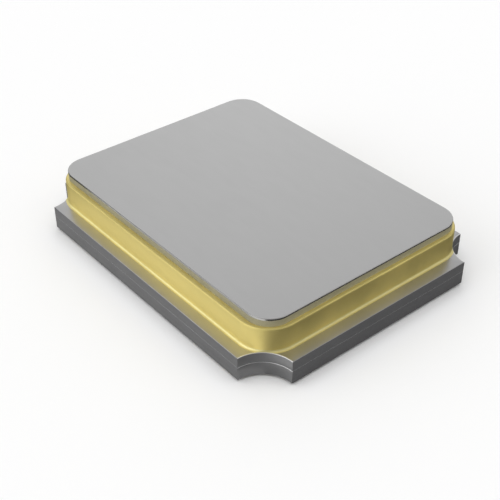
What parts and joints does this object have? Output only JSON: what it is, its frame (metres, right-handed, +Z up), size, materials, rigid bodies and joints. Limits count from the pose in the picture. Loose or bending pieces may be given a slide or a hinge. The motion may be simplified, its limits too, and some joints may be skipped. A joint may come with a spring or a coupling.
{
  "type": "crystal resonator",
  "caption": "Surface-mount quartz crystal resonator: notched ceramic base, brazed gold-plated seal ring and welded flat lid over a sealed quartz blank.",
  "frame": {"origin": "centre of the package on the plane of the solder terminals' underside", "axes": "+X along the package's length, +Y across it, +Z up through the lid"},
  "size_m": [0.0032, 0.0024, 0.0005],
  "materials": {
    "ceramic": "dark grey fired alumina, satin",
    "gold_plating": "satin gold plating",
    "nickel_plating": "satin nickel plating",
    "quartz": "lapped clear quartz",
    "silver_film": "evaporated silver film",
    "adhesive": "silver-filled conductive adhesive",
    "tungsten": "sintered tungsten fill"
  },
  "bodies": {
    "root": {"base_layer": "ceramic", "wall_layer": "ceramic", "braze_joint": "gold_plating", "seal_ring": "gold_plating", "lid": "nickel_plating", "quartz_blank": "quartz", "upper_electrode": "silver_film", "lower_electrode": "silver_film", "adhesive_dot_1": "adhesive", "adhesive_dot_3": "adhesive", "mounting_pad_1": "gold_plating", "mounting_pad_3": "gold_plating", "signal_via_1": "tungsten", "signal_via_3": "tungsten", "ground_via_2": "tungsten", "ground_via_4": "tungsten", "terminal_1": "gold_plating", "terminal_2": "gold_plating", "terminal_3": "gold_plating", "terminal_4": "gold_plating"}
  },
  "joints": []
}
